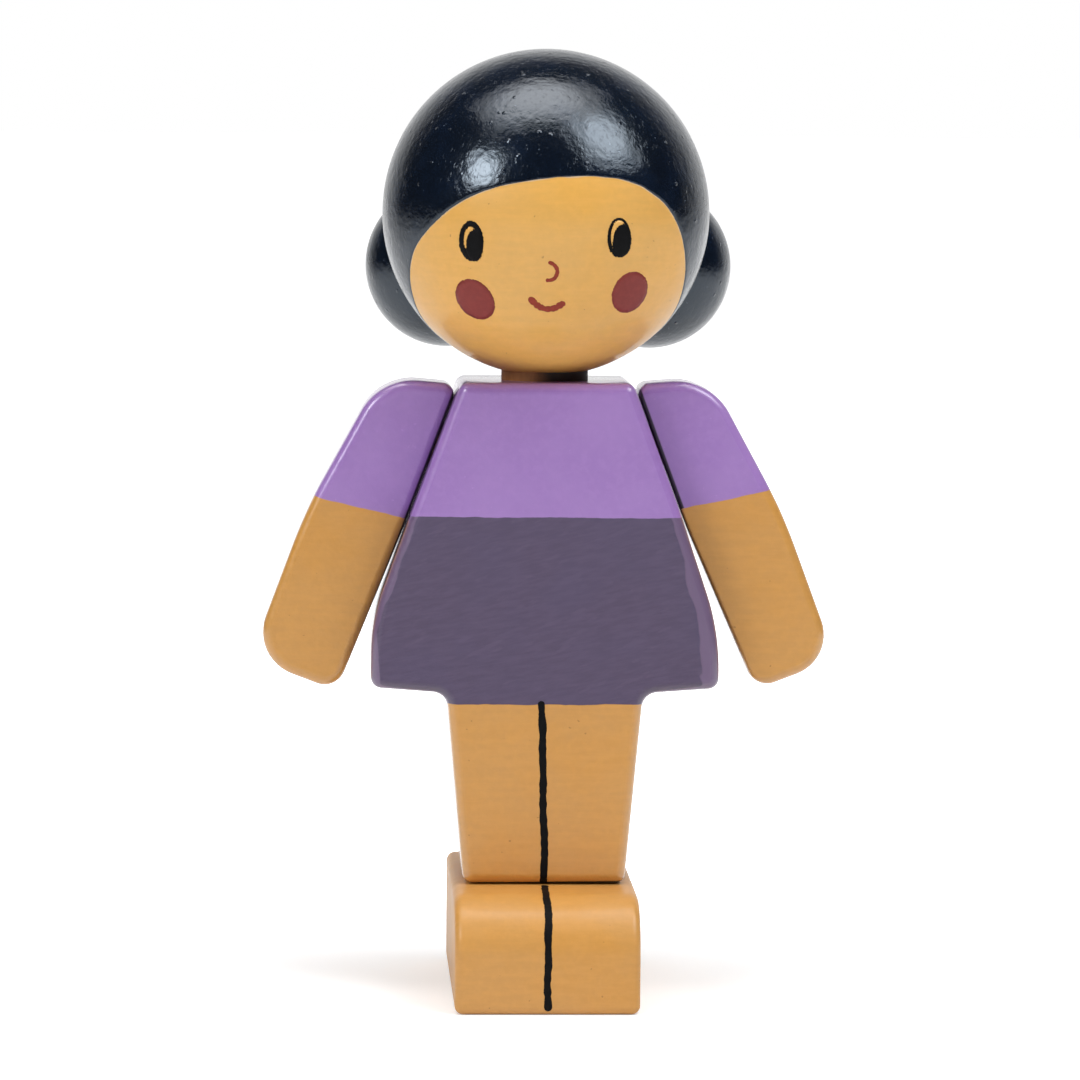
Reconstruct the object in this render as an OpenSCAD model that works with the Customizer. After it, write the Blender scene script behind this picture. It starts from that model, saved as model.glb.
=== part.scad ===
// Painted wooden block doll. A ball head with two hair bunches turns on a neck peg, and two
// flat arms turn on pegs set square to the slanted sides of one body board. The doll stands
// on its foot block with the floor at z = 0 and the neck on the z axis. It faces -Y, so its
// own left is +X. Sizes are in millimetres and angles in degrees.

/* [Head] */
// Diameter of the ball head
head_d = 30; // [24:0.5:36]
// Height of the head's lowest point above the torso
head_lift = 0.3; // [0.2:0.1:2]
// Diameter of each hair bunch
bunch_d = 15.5; // [12:0.5:20]
// Distance of each bunch's centre from the middle of the head
bunch_out = 9.6; // [8.5:0.25:12]
// Distance of each bunch's centre below the head's centre
bunch_drop = 5.4; // [2:0.2:8]
// Depth to which the head's ball sinks into each bunch
bunch_seat = 4; // [1:0.25:5]
// Turn of the head at rest, negative towards the doll's own right
head_turn = -3.5; // [-180:0.5:180]

/* [Body board] */
// Thickness of the board
board_t = 14; // [11:0.5:18]
// Radius rounded onto the front and back edges of the board
board_edge_r = 1; // [0.5:0.1:2.5]
// Width of the torso at its top
shoulder_w = 15.7; // [14:0.2:20]
// Tilt of the torso's straight sides from upright
side_angle = 20.5; // [16:0.5:24]
// Length from the hem, beside the legs, to the top of the torso
torso_len = 28.45; // [25:0.05:34]
// Width of the skirt
skirt_w = 31.9; // [28:0.1:34]
// Radius of the curve from the straight sides into the skirt
flare_r = 16; // [5:0.5:16]
// Rise of the hem from the legs out to its corners
hem_rise = 0.5; // [0.2:0.1:2]
// Radius of the corners of the skirt, the legs and the torso's top
body_corner_r = 1; // [0.8:0.1:2]
// Radius of the fillet between hem and leg
hem_fillet_r = 1.5; // [0.4:0.1:2.4]
// Length of the legs below the hem
leg_len = 17.6; // [14:0.05:24]
// Width of the pair of legs at the hem
leg_top_w = 18; // [16:0.1:21]
// Width of the pair of legs at the foot block
leg_bottom_w = 14.8; // [13:0.1:16]

/* [Arms] */
// Thickness of the arm board
arm_t = 6.5; // [5.5:0.25:9]
// Radius rounded onto the front and back edges of the arm
arm_edge_r = 0.9; // [0.4:0.1:2]
// Length of the arm along the torso's side
arm_len = 30.4; // [26:0.2:34]
// Width of the arm at the elbow and hand
arm_w = 8.85; // [7.8:0.05:11]
// Width of the arm at its top
arm_top_w = 6.85; // [6.2:0.05:7.6]
// Radius of the shoulder
arm_shoulder_r = 6; // [2:0.1:6]
// Radius of the outer corner of the hand
hand_r = 4.2; // [2:0.1:4.2]
// Radius of the inner corner of the hand
hand_inner_r = 2; // [1:0.1:4]
// Rise of the arm's top from its inner corner out to the shoulder
arm_crown = 0.6; // [0:0.1:1.2]
// Distance of the arm's inner top corner below the torso's top, along the slanted side
arm_drop = 0.35; // [0:0.05:1]
// Distance by which the arm's inner edge leaves the torso's side at the hand
hand_taper = 0.65; // [0.1:0.05:1.5]
// Radius of the arm's inner corner beside the torso's top
arm_tip_r = 1; // [0.4:0.1:1.4]
// Running gap between arm and torso
arm_gap = 0.15; // [0.1:0.05:1]
// Distance of the shoulder pivot from the torso's top, along the slanted side
pivot_drop = 6.5; // [6:0.25:8]

/* [Foot block] */
// Width of the block
foot_w = 16.8; // [15:0.1:22]
// Height of the block
foot_h = 10.4; // [8:0.1:14]
// Distance of the toe in front of the neck axis
toe_reach = 16.5; // [14:0.5:24]
// Distance of the heel behind the neck axis
heel_reach = 14; // [9:0.5:18]
// Radius of the curve over the toe
toe_r = 5; // [2:0.1:5]
// Radius of the other corners of the block's side outline
foot_corner_r = 0.8; // [0.6:0.1:2]
// Radius rounded onto the edges of the block's two sides
foot_edge_r = 0.8; // [0.4:0.1:2]

/* [Pegs] */
// Diameter of the neck peg
neck_d = 8; // [6:0.5:9]
// Depth of the neck peg's bore in the torso
neck_torso_depth = 4.5; // [3.5:0.25:5]
// Depth of the neck peg's bore in the head, from the head's lowest point
neck_head_depth = 9; // [6:0.5:12]
// Diameter of the shoulder pegs
shoulder_peg_d = 4; // [3:0.25:4.5]
// Depth of the shoulder bores in the torso
shoulder_torso_depth = 6; // [4:0.25:6.5]
// Depth of the shoulder bores in the arms
shoulder_arm_depth = 4.5; // [3:0.25:5]
// Diameter of the bunch pegs
bunch_peg_d = 4; // [3:0.25:5]
// Depth of the bunch pegs' bores in the head and in each bunch
bunch_peg_depth = 5; // [3:0.25:6]
// Diameter of the foot dowels
foot_dowel_d = 4; // [3:0.25:5]
// Distance between the two foot dowels
foot_dowel_pitch = 6.8; // [6:0.1:7.4]
// Depth of the dowels' bores in the legs
dowel_leg_depth = 8; // [5:0.5:12]
// Depth of the dowels' bores in the foot block
dowel_foot_depth = 6; // [4:0.25:6.5]

/* [Hidden] */

// Doll's left and right, as signs of x
left = 1;
right = -1;

// Clearances: round a glued peg, round a turning peg, at the end of every peg
glue_gap = 0.04;
turn_gap = 0.06;
end_gap = 0.4;
// Chamfer on the ends of every peg
peg_chamfer = 0.4;
// Overrun of every cut past the surface that it opens
overrun = 1;
// Smallest radius left on a corner where the edge rounding runs off
least_r = 0.05;
// Radius of the slight bend at the elbow, on the outside of the arm
elbow_r = 50;
// Place of that bend along the arm
elbow_share = 0.52;
// Place along the arm where its inner edge starts to leave the torso's side
taper_share = 0.45;
// Largest share of an edge that one corner's radius may take up
corner_room_share = 0.49;
// Segments in each rounded corner, and in each rounded front or back edge
corner_steps = 6;
edge_steps = 4;
$fn = 96;

// Heights
hem_z = foot_h + leg_len;
torso_top_z = hem_z + torso_len;
head_r = head_d / 2;
head_bottom_z = torso_top_z + head_lift;
head_z = head_bottom_z + head_r;

// Corner where the line of the straight side meets the skirt's width
flare_z = torso_top_z - (skirt_w - shoulder_w) / 2 / tan(side_angle);

// Bunch centre, seen from the head's centre
bunch_reach = head_r + bunch_d / 2 - bunch_seat;
bunch_back = sqrt(pow(bunch_reach, 2) - pow(bunch_out, 2) - pow(bunch_drop, 2));
bunch_tilt = acos(-bunch_drop / bunch_reach);
bunch_swing = atan2(bunch_back, bunch_out);

// Shoulder pivot, on the surface of the torso's slanted side
pivot_x = shoulder_w / 2 + pivot_drop * sin(side_angle);
pivot_z = torso_top_z - pivot_drop * cos(side_angle);

// Arm heights above the pivot, measured along the slanted side
arm_top = pivot_drop - arm_drop - arm_gap * tan(side_angle);
arm_bottom = arm_top - arm_len;

// Outlines as corners [across, up, radius], anticlockwise
body_half = [
    [leg_bottom_w / 2, foot_h + glue_gap, body_corner_r],
    [leg_top_w / 2, hem_z, hem_fillet_r],
    [skirt_w / 2, hem_z + hem_rise, body_corner_r],
    [skirt_w / 2, flare_z, flare_r],
    [shoulder_w / 2, torso_top_z, body_corner_r]
];
body_outline = concat(
    body_half,
    [for (i = [len(body_half) - 1:-1:0]) [-body_half[i].x, body_half[i].y, body_half[i].z]]
);
arm_outline = [
    [arm_gap + hand_taper, arm_bottom, hand_inner_r],
    [arm_gap + arm_w, arm_bottom, hand_r],
    [arm_gap + arm_w, arm_top - arm_len * elbow_share, elbow_r],
    [arm_gap + arm_top_w, arm_top + arm_crown - arm_top_w * tan(side_angle), arm_shoulder_r],
    [arm_gap, arm_top, arm_tip_r],
    [arm_gap, arm_top - arm_len * taper_share, elbow_r]
];
foot_outline = [
    [-toe_reach, 0, foot_corner_r],
    [heel_reach, 0, foot_corner_r],
    [heel_reach, foot_h, foot_corner_r],
    [-toe_reach, foot_h, toe_r]
];

function unit(v) = v / norm(v);
function flat(corner) = [corner.x, corner.y];
function outward(direction) = [direction.y, -direction.x];
function turned(v, angle) = [
    v.x * cos(angle) - v.y * sin(angle),
    v.x * sin(angle) + v.y * cos(angle)
];

// Arc that rounds corner b between its neighbours a and c, on an outline drawn inwards by inset
function rounded_corner(a, b, c, inset) =
    let (
        along_in = unit(flat(b) - flat(a)),
        along_out = unit(flat(c) - flat(b)),
        normal_in = outward(along_in),
        normal_out = outward(along_out),
        turn = atan2(cross(along_in, along_out), along_in * along_out),
        bend = sign(turn),
        slack = tan(abs(turn) / 2),
        room = corner_room_share * min(norm(flat(b) - flat(a)), norm(flat(c) - flat(b))),
        r = max(min(b.z, room / slack) - bend * inset, least_r),
        point = flat(b) - inset * (normal_in + normal_out) / (1 + normal_in * normal_out),
        centre = point - along_in * r * slack - normal_in * bend * r
    )
    [for (k = [0:corner_steps]) centre + bend * r * turned(normal_in, turn * k / corner_steps)];

// Whole outline with rounded corners, drawn inwards by inset
function rounded_outline(corners, inset) =
    let (n = len(corners))
    [for (i = [0:n - 1])
        each rounded_corner(corners[(i + n - 1) % n], corners[i], corners[(i + 1) % n], inset)];

// Triangles that fill one face of an outline of n points, as a strip from end to end
function face_strip(n, first) = [
    for (i = [0:floor((n - 3) / 2)])
        for (triangle = [[i, i + 1, n - 1 - i], [i + 1, n - 2 - i, n - 1 - i]])
            if (triangle[0] < triangle[1] && triangle[1] < triangle[2])
                [for (k = triangle) first + k]
];

// Flat board with rounded corners and a quarter-round along its front and back edges. The
// outline lies in the xy plane, and the board's thickness is centred on it.
module rounded_board(corners, thickness, edge_r) {
    half_steps = [for (k = [0:edge_steps]) 90 * k / edge_steps];
    lower = [for (a = half_steps) [edge_r * (1 - sin(a)), -thickness / 2 + edge_r * (1 - cos(a))]];
    layers = concat(lower, [for (k = [edge_steps:-1:0]) [lower[k].x, -lower[k].y]]);
    rings = [for (layer = layers)
        [for (p = rounded_outline(corners, layer.x)) [p.x, p.y, layer.y]]];
    n = len(rings[0]);
    last = len(rings) - 1;
    walls = [
        for (j = [0:last - 1])
            for (i = [0:n - 1])
                let (near = j * n + i, next = j * n + (i + 1) % n)
                each [[near, near + n, next + n], [near, next + n, next]]
    ];
    top = [for (triangle = face_strip(n, last * n)) [triangle[2], triangle[1], triangle[0]]];
    polyhedron([for (ring = rings) each ring], concat(walls, face_strip(n, 0), top));
}

// Round peg with chamfered ends, standing on the origin
module peg(d, length) {
    rotate_extrude()
        polygon([
            [0, 0],
            [d / 2 - peg_chamfer, 0],
            [d / 2, peg_chamfer],
            [d / 2, length - peg_chamfer],
            [d / 2 - peg_chamfer, length],
            [0, length]
        ]);
}

// Blind bore that runs up from the origin and opens downwards
module bore(d, depth, gap) {
    translate([0, 0, -overrun])
        cylinder(d = d + 2 * gap, h = depth + overrun);
}

// Mirrors what is drawn for the doll's left to its right
module on_side(side) {
    if (side == left) children();
    else mirror([1, 0, 0]) children();
}

// Turns what rides on the head to its place at rest
module on_head() {
    rotate([0, 0, head_turn]) children();
}

// Frame with its origin at the head's centre and +Z towards the doll's left bunch
module towards_bunch() {
    translate([0, 0, head_z])
        rotate([0, bunch_tilt, bunch_swing])
            children();
}

// Frame of the left shoulder: origin at the pivot, +X out of the torso, +Z up its side
module at_shoulder() {
    translate([pivot_x, 0, pivot_z])
        rotate([0, -side_angle, 0])
            children();
}

// Frame of the left foot dowel, at the joint between leg and foot block
module at_foot_dowel() {
    translate([foot_dowel_pitch / 2, 0, foot_h]) children();
}

module head() {
    color("#e0ae6e")
        difference() {
            translate([0, 0, head_z]) sphere(d = head_d);
            translate([0, 0, head_bottom_z]) bore(neck_d, neck_head_depth, glue_gap);
            for (side = [left, right])
                on_head()
                    on_side(side)
                        towards_bunch()
                            translate([0, 0, head_r])
                                rotate([180, 0, 0])
                                    bore(bunch_peg_d, bunch_peg_depth, glue_gap);
        }
}

module bunch(side) {
    color("#0c1622")
        on_head()
            on_side(side)
                difference() {
                    towards_bunch() translate([0, 0, bunch_reach]) sphere(d = bunch_d);
                    translate([0, 0, head_z]) sphere(d = head_d + 2 * glue_gap);
                    towards_bunch()
                        translate([0, 0, head_r])
                            bore(bunch_peg_d, bunch_peg_depth, glue_gap);
                }
}

module bunch_peg(side) {
    color("#d8b078")
        on_head()
            on_side(side)
                towards_bunch()
                    translate([0, 0, head_r - bunch_peg_depth + end_gap])
                        peg(bunch_peg_d, 2 * (bunch_peg_depth - end_gap));
}

module neck_peg() {
    bottom_z = torso_top_z - neck_torso_depth + end_gap;
    color("#a06a38")
        translate([0, 0, bottom_z])
            peg(neck_d, head_bottom_z + neck_head_depth - end_gap - bottom_z);
}

module body_board() {
    color("#9e7bb6")
        difference() {
            rotate([90, 0, 0]) rounded_board(body_outline, board_t, board_edge_r);
            translate([0, 0, torso_top_z])
                rotate([180, 0, 0])
                    bore(neck_d, neck_torso_depth, turn_gap);
            for (side = [left, right])
                on_side(side) {
                    at_shoulder()
                        rotate([0, -90, 0])
                            bore(shoulder_peg_d, shoulder_torso_depth, turn_gap);
                    at_foot_dowel() bore(foot_dowel_d, dowel_leg_depth, glue_gap);
                }
        }
}

module arm(side) {
    color("#c8965e")
        on_side(side)
            at_shoulder()
                difference() {
                    rotate([90, 0, 0]) rounded_board(arm_outline, arm_t, arm_edge_r);
                    translate([arm_gap, 0, 0])
                        rotate([0, 90, 0])
                            bore(shoulder_peg_d, shoulder_arm_depth, glue_gap);
                }
}

module shoulder_peg(side) {
    inner_end = end_gap - shoulder_torso_depth;
    outer_end = arm_gap + shoulder_arm_depth - end_gap;
    color("#d8b078")
        on_side(side)
            at_shoulder()
                translate([inner_end, 0, 0])
                    rotate([0, 90, 0])
                        peg(shoulder_peg_d, outer_end - inner_end);
}

module foot_block() {
    color("#ca9860")
        difference() {
            rotate([90, 0, 90]) rounded_board(foot_outline, foot_w, foot_edge_r);
            for (side = [left, right])
                on_side(side)
                    at_foot_dowel()
                        rotate([180, 0, 0])
                            bore(foot_dowel_d, dowel_foot_depth, glue_gap);
        }
}

module foot_dowel(side) {
    color("#d8b078")
        on_side(side)
            at_foot_dowel()
                translate([0, 0, end_gap - dowel_foot_depth])
                    peg(foot_dowel_d, dowel_foot_depth + dowel_leg_depth - 2 * end_gap);
}

head();
bunch(left);  // left_bunch
bunch(right);  // right_bunch
bunch_peg(left);  // left_bunch_peg
bunch_peg(right);  // right_bunch_peg
neck_peg();
body_board();
arm(left);  // left_arm
arm(right);  // right_arm
shoulder_peg(left);  // left_shoulder_peg
shoulder_peg(right);  // right_shoulder_peg
foot_block();
foot_dowel(left);  // left_foot_dowel
foot_dowel(right);  // right_foot_dowel
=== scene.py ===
"""Painted wooden block doll: paint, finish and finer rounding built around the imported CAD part."""

from math import atan2, copysign, cos, pi, radians, sin, sqrt, tan, tau

import bpy
from bpy.props import FloatProperty, FloatVectorProperty, PointerProperty
from mathutils import Euler, Matrix, Vector, noise


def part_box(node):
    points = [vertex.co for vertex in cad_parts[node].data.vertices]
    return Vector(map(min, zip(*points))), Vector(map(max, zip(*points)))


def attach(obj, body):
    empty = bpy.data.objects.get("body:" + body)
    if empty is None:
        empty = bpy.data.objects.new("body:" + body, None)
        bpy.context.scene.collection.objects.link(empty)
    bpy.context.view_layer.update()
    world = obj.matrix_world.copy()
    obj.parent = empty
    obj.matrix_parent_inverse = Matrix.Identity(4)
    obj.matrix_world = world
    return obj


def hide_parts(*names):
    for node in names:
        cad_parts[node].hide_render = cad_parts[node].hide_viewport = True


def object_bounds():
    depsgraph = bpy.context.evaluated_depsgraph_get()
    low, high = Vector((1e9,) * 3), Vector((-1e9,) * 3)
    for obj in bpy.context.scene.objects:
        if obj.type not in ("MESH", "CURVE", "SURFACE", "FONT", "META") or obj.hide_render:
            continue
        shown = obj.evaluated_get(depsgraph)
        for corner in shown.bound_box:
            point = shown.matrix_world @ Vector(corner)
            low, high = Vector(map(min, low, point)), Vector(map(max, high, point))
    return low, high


bl_info = {
    "name": "Painted Block Doll",
    "version": (1, 0, 0),
    "blender": (4, 5, 0),
    "location": "View3D > Sidebar > Doll",
    "description": "Builds the painted pieces of a wooden block doll around its CAD part",
    "category": "Object",
}

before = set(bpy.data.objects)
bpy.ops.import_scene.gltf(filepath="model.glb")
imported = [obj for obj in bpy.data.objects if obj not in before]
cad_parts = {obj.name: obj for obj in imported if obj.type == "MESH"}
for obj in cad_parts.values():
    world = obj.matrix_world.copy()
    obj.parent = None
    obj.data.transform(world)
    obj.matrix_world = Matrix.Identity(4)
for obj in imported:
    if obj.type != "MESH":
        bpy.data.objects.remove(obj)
CAD_LOW, CAD_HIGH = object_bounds()

MM = 0.001
WOBBLE_SEED = 5
HIDDEN_PEGS = [side + peg for side in ("left_", "right_")
               for peg in ("shoulder_peg", "bunch_peg", "foot_dowel")]

# Middle of the face, hairline, nose and mouth, as azimuth and elevation in degrees on the ball
FACE_MIDDLE = (0, -30)
HAIRLINE = (
    (-55, -14.3), (-61.5, -22.5), (-69, -31.8), (-79.5, -42.5), (-95, -56), (-130, -67), (180, -69),
    (130, -66), (96, -51), (75, -33), (62.5, -16), (53, -2), (43, 7), (29, 13), (7, 14),
    (-19, 9.5), (-34, 2.5), (-48, -7.8),
)
NOSE = ((1.9, -15.3), (4, -16.4), (5.2, -18.5), (4.5, -20.9), (3, -21.9), (1, -22))
MOUTH = ((-5.3, -28.6), (-3.2, -31.1), (-0.5, -32.9), (2.2, -33.4), (5.2, -32.8), (8.7, -30.5))

# Line between the legs, as distance to the left and height in millimetres
LEG_LINE = ((-0.35, 27.4), (-0.18, 20.2), (-0.02, 14))

# Direction of the bright wall that the paint mirrors, and between which cosines from it the wall fades in
WALL = (0.12, 0.99, 0)
WALL_FADE = (0.42, 1.0)
WHITE = (1, 1, 1)


def srgb(red, green, blue):
    """Linear colour from the 0 to 255 values of a display colour."""
    values = []
    for value in (red, green, blue):
        share = value / 255
        values.append(share / 12.92 if share <= 0.04045 else ((share + 0.055) / 1.055) ** 2.4)
    return tuple(values)


def length(name, description, size_mm):
    """Property for a length, given in millimetres."""
    return FloatProperty(name=name, description=description, default=size_mm * MM, min=0, unit="LENGTH",
                         precision=5)


def angle(name, description, degrees):
    """Property for an angle, given in degrees."""
    return FloatProperty(name=name, description=description, default=radians(degrees), unit="ROTATION")


def colour(name, description, red, green, blue):
    """Property for a paint colour, given as a display colour."""
    return FloatVectorProperty(name=name, description=description, default=srgb(red, green, blue), min=0,
                               max=1, subtype="COLOR")


class DollSizes(bpy.types.PropertyGroup):
    """Sizes of the painted pieces, most of them shared with the CAD part, and of the paint."""

    head_turn: angle("Head turn", "Turn of the head at rest", -3.5)
    bunch_d: length("Bunch", "Diameter of a hair bunch", 15.5)
    bunch_out: length("Bunch out", "Bunch's place to the side of the head", 9.6)
    bunch_drop: length("Bunch drop", "Bunch's place below the head's middle", 5.4)
    bunch_seat: length("Bunch seat", "Depth of the head in a bunch", 4)
    seat_gap: length("Seat gap", "Glue line under a bunch", 0.04)
    board_edge_r: length("Board edge", "Quarter-round of the body board", 1)
    shoulder_w: length("Shoulder width", "Width of the torso at the top", 15.7)
    side_angle: angle("Side angle", "Slant of the torso sides", 20.5)
    hem_z: length("Hem height", "Height of the hem", 28)
    hem_rise: length("Hem rise", "Rise of the hem to the sides", 0.5)
    left_flare_r: length("Left flare", "Rounding where the left side turns straight", 22)
    right_flare_r: length("Right flare", "Rounding where the right side turns straight", 16.5)
    left_bend: angle("Left bend", "How much steeper the left side is below the waist", 2)
    right_bend: angle("Right bend", "How much steeper the right side is below the waist", 0.3)
    waist_r: length("Waist rounding", "Rounding of the sides at the waist", 60)
    corner_r: length("Body corners", "Rounding of the body corners", 1)
    hem_fillet_r: length("Hem fillet", "Rounding between hem and leg", 1.5)
    leg_top_w: length("Leg top", "Width of the legs at the hem", 18)
    leg_bottom_w: length("Leg bottom", "Width of the legs at the foot", 14.8)
    arm_edge_r: length("Arm edge", "Quarter-round of an arm", 0.9)
    arm_len: length("Arm length", "Length of an arm along the torso side", 30.4)
    arm_w: length("Arm width", "Width of an arm at the hand", 8.85)
    arm_top_w: length("Arm top width", "Width of an arm at the shoulder", 6.85)
    shoulder_r: length("Shoulder rounding", "Rounding of an arm's outer top corner", 6)
    hand_r: length("Hand rounding", "Rounding of a hand's outer corner", 4.2)
    hand_inner_r: length("Inner hand rounding", "Rounding of a hand's inner corner", 2)
    arm_tip_r: length("Arm tip", "Rounding of an arm's inner top corner", 1)
    elbow_r: length("Elbow", "Rounding of an arm's long sides", 50)
    arm_gap: length("Arm gap", "Gap between an arm and the torso", 0.15)
    arm_drop: length("Arm drop", "Arm's inner top corner below the torso top", 0.35)
    arm_crown: length("Arm crown", "Rise of an arm's top out to the shoulder", 0.6)
    hand_taper: length("Hand taper", "Inner edge's way off the torso at the hand", 0.65)
    hand_lean: length("Hand lean", "More taper of the left hand, less of the right", 0.25)
    pivot_drop: length("Pivot drop", "Shoulder joint below the torso top", 6.5)
    toe_r: length("Toe", "Rounding of the toe", 5)
    foot_corner_r: length("Foot corners", "Rounding of the other foot corners", 0.8)
    foot_edge_r: length("Foot edge", "Quarter-round of the foot block", 0.8)
    paint: length("Paint", "Thickness of a coat of paint", 0.03)
    inner_coat: length("Inner coat", "Paint on the inner side of the right arm", 0.1)
    wobble: length("Wobble", "Unevenness of the sanded edges", 0.03)
    line_w: length("Line width", "Width of the line between the legs", 0.66)
    line_sway: length("Line sway", "Sway of the line between the legs", 0.16)
    sleeve_drop: length("Sleeve", "Length of a sleeve below the shoulder joint", 7.1)
    waist_z: length("Waist", "Height of the paint line at the waist", 44.22)
    leg_paint_z: length("Leg paint", "Height of the paint line below the hem", 27.07)


class DollColours(bpy.types.PropertyGroup):
    """Paint colours."""

    face: colour("Face", "Skin of the face", 226, 171, 86)
    skin: colour("Skin", "Skin of arms, legs and feet", 204, 148, 76)
    hair: colour("Hair", "Hair", 7, 15, 27)
    top: colour("Top", "Upper part of the dress", 158, 120, 187)
    skirt: colour("Skirt", "Flat faces of the skirt", 91, 79, 102)
    skirt_edge: colour("Skirt edge", "Rounded edges of the skirt", 110, 90, 120)
    ink: colour("Ink", "Eyes and the line between the legs", 9, 8, 10)
    cheek: colour("Cheek", "Cheeks", 133, 50, 45)
    lip: colour("Lip", "Nose and mouth", 146, 50, 32)
    # Painted shade: colour of the dark band on an arm's inner side and of the shadow line where the legs
    # meet the foot block
    gap_shade: colour("Gap shade", "Shaded inner side of an arm, and the foot's seam", 16, 12, 16)
    # Skin paint darkened as painted shade, for the neck under the head
    neck: colour("Neck", "Painted shade of the neck peg", 168, 112, 62)
    dowel: colour("Dowel", "Bare wooden dowels", 206, 170, 122)


def sizes():
    """Sizes kept on the scene."""
    return bpy.context.scene.doll_sizes


def colours():
    """Colours kept on the scene."""
    return bpy.context.scene.doll_colours


class Net:
    """Tree that takes new nodes, with each input given as a value or as another node's output."""

    def __init__(self, tree, owner=None):
        self.tree = tree
        self.owner = owner
        self.tree.nodes.clear()

    def add(self, kind, inputs=None, output=0, **settings):
        """New node's output."""
        node = self.tree.nodes.new(kind)
        for name, value in settings.items():
            setattr(node, name, value)
        for key, value in (inputs or {}).items():
            if isinstance(value, bpy.types.NodeSocket):
                self.tree.links.new(value, node.inputs[key])
            else:
                node.inputs[key].default_value = value
        return node.outputs[output] if node.outputs else None

    def math(self, operation, first, second=0.0):
        """Result of an operation on two numbers."""
        return self.add("ShaderNodeMath", {0: first, 1: second}, operation=operation)

    def plus(self, first, second):
        """Sum of two numbers."""
        return self.math("ADD", first, second)

    def minus(self, first, second):
        """Difference of two numbers."""
        return self.math("SUBTRACT", first, second)

    def times(self, first, second):
        """Product of two numbers."""
        return self.math("MULTIPLY", first, second)

    def measure(self, operation, first, second=(0, 0, 0)):
        """Number that an operation on two vectors gives."""
        return self.add("ShaderNodeVectorMath", {0: first, 1: second}, output=1, operation=operation)

    def axis(self, where, index):
        """One coordinate of a place."""
        return self.add("ShaderNodeSeparateXYZ", {0: where}, output=index)

    def rim(self):
        """Distance from a board's outline or from the hairline, as kept on the mesh."""
        return self.add("ShaderNodeAttribute", output=2, attribute_name="rim")

    def ray(self, kind):
        """1 for rays of a kind and 0 for others."""
        return self.add("ShaderNodeLightPath", output=f"Is {kind} Ray")

    def blend(self, share, first, second, **settings):
        """Colour between two colours."""
        ends = [end if isinstance(end, bpy.types.NodeSocket) else (*end, 1) for end in (first, second)]
        inputs = {0: share, 6: ends[0], 7: ends[1]}
        return self.add("ShaderNodeMix", inputs, output=2, data_type="RGBA", **settings)

    def layer(self, under, over, share, amount):
        """Colour with another over it by an amount, where share is 1."""
        return self.blend(self.times(share, amount), under, over)

    def between(self, share, first, second):
        """Number between two numbers."""
        return self.add("ShaderNodeMix", {0: share, 2: first, 3: second}, data_type="FLOAT")

    def step(self, value, low, high):
        """Smooth step from 0 at low to 1 at high."""
        inputs = {"Value": value, "From Min": low, "From Max": high}
        return self.add("ShaderNodeMapRange", inputs, interpolation_type="SMOOTHSTEP")

    def place(self, stretch=(1, 1, 1), turn=(0, 0, 0)):
        """Place on the object, turned and stretched."""
        where = self.add("ShaderNodeTexCoord", output="Object")
        inputs = {"Vector": where, "Rotation": turn, "Scale": stretch}
        return self.add("ShaderNodeMapping", inputs, vector_type="TEXTURE")

    def noise(self, scale, detail=3, rough=0.5, **place):
        """Noise from 0 to 1 over the object, with scale in features per metre."""
        inputs = {"Vector": self.place(**place), "Scale": scale, "Detail": detail, "Roughness": rough}
        return self.add("ShaderNodeTexNoise", inputs)

    def waver(self, scale, size):
        """Unevenness from 0 to size over the object."""
        return self.times(self.noise(scale), size)

    def bump(self, height, depth, under=None):
        """Bumped normal, with depth in metres."""
        inputs = {"Height": height, "Distance": depth}
        if under:
            inputs["Normal"] = under
        return self.add("ShaderNodeBump", inputs)

    def finish(self, base, rough, normal, coat=0.0, specular=0.5, tint=(1, 1, 1, 1), coat_rough=0.1):
        """Material with this surface."""
        inputs = {"Base Color": base, "Roughness": rough, "Normal": normal, "Coat Weight": coat,
                  "Coat Roughness": coat_rough, "Specular IOR Level": specular, "Specular Tint": tint}
        surface = self.add("ShaderNodeBsdfPrincipled", inputs)
        self.add("ShaderNodeOutputMaterial", {"Surface": surface})
        return self.owner


def tinted(base, red, green, blue):
    """Colour with each channel scaled."""
    return (min(base[0] * red, 1), min(base[1] * green, 1), min(base[2] * blue, 1))


def new_material(name, base):
    """Empty node tree of a new material."""
    material = bpy.data.materials.new(name)
    material.use_nodes = True
    material.diffuse_color = (*base, 1)
    return Net(material.node_tree, material)


def skin_colour(net, base):
    """Skin paint: soft patches, fine mottling, brush strokes and a few specks."""
    patches = net.step(net.noise(150), 0.42, 0.68)
    tone = net.blend(patches, base, tinted(base, 1.03, 0.99, 0.82))
    mottle = net.step(net.noise(1400, 5, 0.6), 0.35, 0.8)
    shade = net.blend(mottle, (0.96, 0.96, 0.96), (1.03, 1.03, 1.03))
    tone = net.blend(1.0, tone, shade, blend_type="MULTIPLY")
    strokes = net.step(net.noise(1700, 3, 0.6, stretch=(7, 7, 1)), 0.38, 0.7)
    tone = net.layer(tone, tinted(base, 1.1, 1.08, 1.04), strokes, 0.45)
    specks = net.step(net.noise(1900, 1), 0.775, 0.8)
    return net.layer(tone, tinted(base, 0.42, 0.3, 0.25), specks, 0.5)


def fine_bump(net):
    """Orange peel of a sprayed coat."""
    return net.bump(net.noise(900, 3, 0.55), 0.02 * MM)


def edge_bump(net, under=None):
    """Orange peel that is stronger on the rounded edges of a board."""
    rim = net.rim()
    edge = net.times(net.step(rim, 1.3 * MM, 0.7 * MM), net.step(rim, 0.0, 0.12 * MM))
    coarse = net.bump(net.noise(900, 3, 0.55), 0.03 * MM, under)
    fine = net.times(net.noise(2300, 2), net.between(edge, 0.2, 1.0))
    return net.bump(fine, 0.05 * MM, coarse)


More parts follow.
